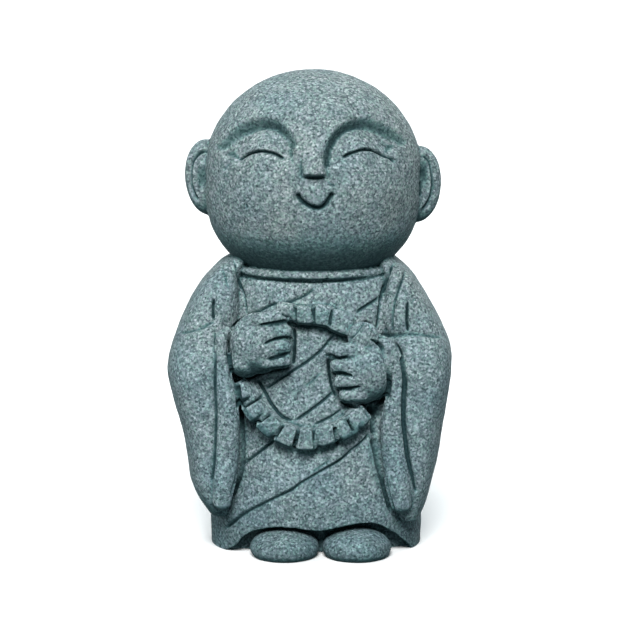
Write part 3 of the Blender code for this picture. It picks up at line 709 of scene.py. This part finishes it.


# The beads are parted from the robe by a fine line above and below, and each one from the next. Painted
# shade darkens the gaps, and a little of it lies over the whole string and the robe round it.
cut(((-23, 238), (-2, 237), (14, 236), (19, 229)), 2, 1.5, 4)
cut(((-56, 186), (-49, 174), (-41, 160), (-29, 147), (-19, 143)), 2.2, 2.8)
cut(((-1, 139), (9, 143), (17, 147), (30, 156)), 2.2, 2.5)
cut(((-76, 178), (-71, 159), (-56, 140), (-39, 125), (-26, 116), (-13, 112.5), (5, 112.5), (17, 117.5),
     (28, 124.5), (42, 133), (53, 146)), 4, 0, 8, 0.5)
cut(((-60, 172), (-52, 155), (-39, 140), (-24, 130), (-6, 126), (13, 130), (30, 137), (42, 149)),
    14, 0, 8, 0.22)
cut(((-30, 252), (-9, 248), (9, 248), (27, 241)), 12, 0, 8, 0.22)
cut(((-38, 242), (-28, 224), (-28, 202)), 14, 0, 6, 0.25)
for gap, gap_depth in (
    (((-18, 260), (-18, 238)), 4), (((0, 259), (1, 238)), 4), (((20, 256), (16, 237)), 4),
    (((-72, 155.5), (-49, 169)), 5), (((-59, 139), (-40, 152)), 6), (((-40, 124), (-28, 142)), 7),
    (((-19, 116), (-14, 137)), 6), (((2.5, 113), (0.5, 138)), 6), (((24.5, 119), (21.5, 138)), 7),
    (((41, 131.5), (34, 147)), 7),
):
    cut(gap, 2.5, gap_depth, 3, 0.5)


# The folds of the robe's skirt fall slantwise from the lower hand towards the other foot.
# The fold grooves are darkened with painted shade and stain.
FOLD_SHADE_AND_STAIN = 0.45
for fold, fold_width, fold_depth in (
    (((70, 269), (58, 261), (48, 255), (42, 250)), 2.4, 3),
    (((23, 230), (20, 227.5), (8, 214), (-4, 204), (-22, 192), (-46, 176), (-50, 173)), 2.4, 3),
    (((25, 177), (12, 165), (-6, 151.5), (-20, 142)), 2.4, 3),
    (((10, 194), (0, 184), (-11, 175)), 2.4, 1.2),
    (((-36, 126), (-50, 115), (-62, 106), (-73, 98)), 2.6, 3.3),
    (((58, 132), (48, 122), (38, 114), (28, 105), (13, 96), (-2, 87), (-12, 81), (-22, 74), (-32, 69),
      (-42, 64), (-52, 59), (-62, 54), (-72, 48), (-82, 40), (-90, 34)), 2.6, 3.5),
    (((20, 106), (8, 98), (-4, 90)), 2.4, 1.2),
):
    cut(fold, fold_width, fold_depth, shade_and_stain=FOLD_SHADE_AND_STAIN)
for fold, side in (
    (((72, 268), (59, 260), (48, 253), (40, 244)), 1), (((24, 226), (13, 216), (-12, 197), (-48, 173)), 1),
    (((22, 172), (4, 158), (-18, 142)), 1), (((-38, 122), (-60, 105), (-72, 97)), 1),
    (((60, 131), (48, 119), (13, 93), (-32, 66), (-72, 45), (-88, 33)), -1),
):
    step(fold, side, 2.5, 3, 26, 12)
swell((-26, 38), (8, 4), 1.5)


# The back is plainer. The same wrap crosses it as two slanting folds.
for line, half_width, depth in (
    (((70, 282), (45, 240), (5, 185), (-40, 135), (-78, 100)), 3.2, 3),
    (((84, 262), (60, 222), (20, 168), (-24, 120), (-66, 84)), 3.2, 2.2),
):
    behind = np.stack([-points[:, 0], points[:, 2]], axis=1) / UNIT
    away = ease((normals[:, 1] - 0.05) / 0.3)
    line = smooth_line(line, 48)
    distance, along, _ = measure(line, behind, half_width)
    across = 0.5 + 0.5 * np.cos(pi * np.clip(distance / half_width, 0, 1))
    sunk = np.maximum(sunk, depth * across * faded(line, along, RUN_OUT, RUN_OUT) * away)


# The block is dressed with a bush hammer, which leaves the skin slightly uneven all over. Painted shade
# and patina darken the hollows, painted shade the undersides, and the raised edges are worn pale.
HEWN_SIZE = 0.0055
HEWN_DEPTH = 0.35
# (smoothing steps, depth in drawing units that counts in full), for fine lines and for wide hollows
FINE_HOLLOWS = (12, 0.9)
WIDE_HOLLOWS = (120, 2.4)
# Painted shade on surfaces that face down, such as under the chin.
UNDERSIDE_PAINTED_SHADE = 0.6
STATUE_TRIANGLES = 195000
# The middle of the figure's bounds, which becomes the origin
ORIGIN_ACROSS = -3.5
ORIGIN_FRONT = 5.4
carved = lifted - sunk
points += normals * (carved * UNIT)[:, None]
hewn = np.array([noise.fractal(Vector(p) / HEWN_SIZE, 0.8, 2.1, 2) for p in points])
points += normals * (hewn * HEWN_DEPTH * UNIT)[:, None]
block.vertices.foreach_set("co", points.ravel())


def depth_below(mesh, steps):
    """How far each point lies below a smoothed copy of the skin, in drawing units."""
    copy = link("smoothed", mesh.copy())
    even = copy.modifiers.new("even", "SMOOTH")
    even.factor, even.iterations = SOFTENING, steps
    even = finished(copy)
    moved = np.zeros(count * 3)
    even.vertices.foreach_get("co", moved)
    bpy.data.meshes.remove(even)
    return ((moved.reshape(-1, 3) - points) * normals).sum(axis=1) / UNIT


# Painted shade and patina: darker in hollows and where the skin faces down, kept on the skin for the
# material.
under = ease((-normals[:, 2] - 0.22) / 0.45)
shade_and_patina = np.zeros(count)
for steps, full_depth in (FINE_HOLLOWS, WIDE_HOLLOWS):
    shade_and_patina += np.clip(depth_below(block, steps) / full_depth, -1, 1) * 0.5
shade_and_patina = np.maximum(shade_and_patina, shade_and_stain_marks) + UNDERSIDE_PAINTED_SHADE * under
block.attributes.new("shade_and_patina", "FLOAT", "POINT").data.foreach_set("value", shade_and_patina)

shape = bmesh.new()
shape.from_mesh(block)
bmesh.ops.triangulate(shape, faces=shape.faces)
have = len(shape.faces)
shape.to_mesh(block)
shape.free()
dressed = link("dressed", block)
thin = dressed.modifiers.new("thin", "DECIMATE")
thin.ratio = min(1, STATUE_TRIANGLES / have)
thin.use_collapse_triangulate = True
dressed = finished(dressed)

shape = bmesh.new()
shape.from_mesh(dressed)
everything = shape.verts[:] + shape.edges[:] + shape.faces[:]
bmesh.ops.bisect_plane(
    shape, geom=everything, dist=1e-7, plane_co=(0, 0, 0), plane_no=(0, 0, -1), clear_outer=True
)
bmesh.ops.holes_fill(shape, edges=[e for e in shape.edges if e.is_boundary], sides=0)
bmesh.ops.triangulate(shape, faces=[f for f in shape.faces if len(f.verts) > 3])
bmesh.ops.recalc_face_normals(shape, faces=shape.faces)
shape.to_mesh(dressed)
shape.free()
dressed.transform(Matrix.Translation((-ORIGIN_ACROSS * UNIT, ORIGIN_FRONT * UNIT, 0)))
dressed.shade_smooth()
dressed.set_sharp_from_angle(angle=radians(60))


# The stone is a fine-grained grey-green granite, matt all over: pale felspar and darker specks about 1 mm
# across, cloudy from place to place. Painted shade and patina make it teal-dark where the surface lies deep,
# and painted shade darkens it where it faces down and near the ground.
class Shade:
    """One value in a material's node tree. Sums on it become Math nodes."""

    def __init__(self, tree, socket=None):
        self.tree, self.socket = tree, socket

    def node(self, kind, output, settings=None, **inputs):
        """The output of a new node, once its settings and then its sockets' values or links are set."""
        made = self.tree.nodes.new(kind)
        for name, value in (settings or {}).items():
            if name == "stops":
                stops = made.color_ramp.elements
                for i, (position, colour) in enumerate(value):
                    stop = stops[i] if i < len(stops) else stops.new(position)
                    stop.position, stop.color = position, colour
            else:
                setattr(made, name, value)
        for name, value in inputs.items():
            slot = next(s for s in made.inputs if s.identifier.replace(" ", "_") == name)
            if isinstance(value, Shade):
                self.tree.links.new(value.socket, slot)
            else:
                slot.default_value = value
        return Shade(self.tree, next(s for s in made.outputs if s.identifier == output))

    def sum(self, operation, first, second):
        made = self.tree.nodes.new("ShaderNodeMath")
        made.operation = operation
        for slot, value in zip(made.inputs, (first, second)):
            if isinstance(value, Shade):
                self.tree.links.new(value.socket, slot)
            else:
                slot.default_value = value
        return Shade(self.tree, made.outputs[0])

    def __add__(self, other):
        return self.sum("ADD", self, other)

    def __radd__(self, other):
        return self.sum("ADD", other, self)

    def __sub__(self, other):
        return self.sum("SUBTRACT", self, other)

    def __rsub__(self, other):
        return self.sum("SUBTRACT", other, self)

    def __mul__(self, other):
        return self.sum("MULTIPLY", self, other)

    def between(self, low, high):
        """0 below low, 1 above high and a soft step between."""
        settings = {"interpolation_type": "SMOOTHSTEP"}
        return self.node("ShaderNodeMapRange", "Result", settings, Value=self, From_Min=low, From_Max=high)


def tinted(shade, first, second, blend="MIX"):
    """The first colour, turned into the second one by the shade."""
    return shade.node("ShaderNodeMix", "Result_Color", {"data_type": "RGBA", "blend_type": blend},
                      Factor_Float=shade, A_Color=first, B_Color=second)


GRAIN = 1300
# The deep teal and the teal tint are painted shade and patina, for hollows, undersides and carved marks.
DEEP_TEAL = (0.004, 0.022, 0.026, 1)
ALGAE_AND_SHADE_TINT = (0.56, 0.82, 0.80, 1)
WORN = (0.36, 0.45, 0.45, 1)
# Heights in metres up to which painted shade darkens the stone strongly, and up to which it tints it bluer
FOOT_SHADE_TOP = 0.026
BLUE_SHADE_TOP = 0.12
granite.use_nodes = True
tree = granite.node_tree
surface = tree.nodes["Principled BSDF"]
start = Shade(tree)
where = start.node("ShaderNodeTexCoord", "Object")
# How much painted shade and patina each point carries, worked out on the skin.
depth = start.node("ShaderNodeAttribute", "Fac", {"attribute_name": "shade_and_patina"})
crystals = start.node("ShaderNodeTexVoronoi", "Color", Vector=where, Scale=GRAIN)
crystal = start.node("ShaderNodeSeparateColor", "Red", Color=crystals)
grit = start.node("ShaderNodeTexNoise", "Fac", Vector=where, Scale=GRAIN * 0.9, Detail=2.0, Roughness=0.6)
cloud = start.node("ShaderNodeTexNoise", "Fac", Vector=where, Scale=55.0, Detail=3.0, Roughness=0.6)
grain = crystal * 0.55 + grit.between(0.25, 0.75) * 0.45
stone = grain.node("ShaderNodeValToRGB", "Color", {"stops": (
    (0.00, (0.022, 0.034, 0.038, 1)), (0.30, (0.096, 0.130, 0.136, 1)), (0.50, (0.166, 0.208, 0.214, 1)),
    (0.70, (0.250, 0.300, 0.304, 1)), (0.90, (0.390, 0.450, 0.452, 1)), (1.00, (0.600, 0.660, 0.655, 1)),
)}, Fac=grain)
hue = start.node("ShaderNodeSeparateColor", "Green", Color=crystals)
stone = tinted(hue.between(0.45, 0.9) * 0.6, stone, (0.78, 1.0, 0.88, 1), "MULTIPLY")
stone = tinted((1 - hue).between(0.55, 0.95) * 0.6, stone, (1.0, 0.92, 1.0, 1), "MULTIPLY")
stone = tinted(cloud.between(0.35, 0.7) * 0.5, stone, (0.76, 0.89, 0.98, 1), "MULTIPLY")
rise = start.node("ShaderNodeSeparateXYZ", "Z", Vector=where)
# Painted shade: bluer and a little darker towards the bottom, and much darker on the feet and hem.
stone = tinted((BLUE_SHADE_TOP - rise).between(0, BLUE_SHADE_TOP * 0.5) * 0.65, stone, (0.86, 0.95, 1.0, 1), "MULTIPLY")
stone = tinted((FOOT_SHADE_TOP - rise).between(0, FOOT_SHADE_TOP) * 0.62, stone, (0.30, 0.42, 0.44, 1), "MULTIPLY")
stone = tinted((0 - depth).between(0.08, 0.6) * 0.22, stone, WORN)
# Painted shade and patina: the stone turns teal, then deep teal, in hollows, on undersides and in dark marks.
shade_and_stain = depth + (cloud - 0.5) * 0.35 + (grit - 0.5) * 0.6
stone = tinted(shade_and_stain.between(0.0, 0.4) * 0.8, stone, ALGAE_AND_SHADE_TINT, "MULTIPLY")
stone = tinted(shade_and_stain.between(0.08, 0.85) * 0.9, stone, DEEP_TEAL)
tree.links.new(stone.socket, surface.inputs["Base Color"])
rough = 0.78 + grit * 0.2
tree.links.new(rough.socket, surface.inputs["Roughness"])
surface.inputs["Specular IOR Level"].default_value = 0.2
pits = start.node("ShaderNodeTexNoise", "Fac", Vector=where, Scale=GRAIN * 0.55, Detail=3.0, Roughness=0.65)
height = pits * 0.6 + grit * 0.4
bump = start.node("ShaderNodeBump", "Normal", Strength=0.55, Distance=0.0007, Height=height)
tree.links.new(bump.socket, surface.inputs["Normal"])

dressed.materials.clear()
dressed.materials.append(granite)
monk = link("monk", dressed)
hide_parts("monk_statue")
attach(monk, "root")


# The figure stands on a plain pale ground. The main light falls softly from the front and above, a weak one
# comes from the left, and one from behind keeps the back from going black.
GROUND_HALF = 60.0
ground = link("ground", mesh_from("ground", [
    (x * GROUND_HALF, y * GROUND_HALF, -0.0002) for x, y in ((-1, -1), (1, -1), (1, 1), (-1, 1))
], [(0, 1, 2, 3)]))
paper = bpy.data.materials.new("ground")
paper.use_nodes = True
paper_surface = paper.node_tree.nodes["Principled BSDF"]
paper_surface.inputs["Base Color"].default_value = (0.92, 0.93, 0.93, 1)
paper_surface.inputs["Roughness"].default_value = 0.9
ground.data.materials.append(paper)
ground.visible_diffuse = False

scene = bpy.context.scene
scene.world = bpy.data.worlds.new("studio")
scene.world.use_nodes = True
sky = scene.world.node_tree.nodes["Background"]
sky.inputs["Color"].default_value = (0.70, 0.92, 1.0, 1)
sky.inputs["Strength"].default_value = 0.22

# (name, strength, spread in degrees, way that the light goes)
for name, energy, soft, way in (
    ("key", 4.65, 24, (0.04, 0.74, -0.66)), ("side", 0.7, 40, (0.80, 0.25, -0.55)),
    ("back", 2.2, 60, (-0.25, -0.80, -0.45)),
):
    lamp = bpy.data.lights.new(name, "SUN")
    lamp.energy, lamp.angle = energy, radians(soft)
    light = bpy.data.objects.new(name, lamp)
    scene.collection.objects.link(light)
    light.rotation_euler = Vector(way).to_track_quat("-Z", "Y").to_euler()

# The camera looks down on the figure's middle at 8 degrees, as the drawing does. One drawing unit is one
# dot of the picture, so the toes stand 564 dots below its upper edge.
PICTURE = 640
TOES_DOWN = 564
AXIS_LEFT_OF_MIDDLE = 7
SENSOR = 36
lens = bpy.data.cameras.new("camera")
lens.sensor_width = SENSOR
lens.lens = SENSOR * VIEW_DISTANCE / (PICTURE * UNIT)
lens.shift_x = AXIS_LEFT_OF_MIDDLE / PICTURE
lens.shift_y = (TOES_DOWN - MIDDLE_UP - PICTURE / 2) / PICTURE
camera = bpy.data.objects.new("camera", lens)
scene.collection.objects.link(camera)
middle = Vector((-ORIGIN_ACROSS * UNIT, ORIGIN_FRONT * UNIT, HEIGHT / 2))
camera.location = middle - SIGHT * VIEW_DISTANCE
camera.rotation_euler = SIGHT.to_track_quat("-Z", "Y").to_euler()
scene.camera = camera
scene.view_settings.view_transform = "Standard"
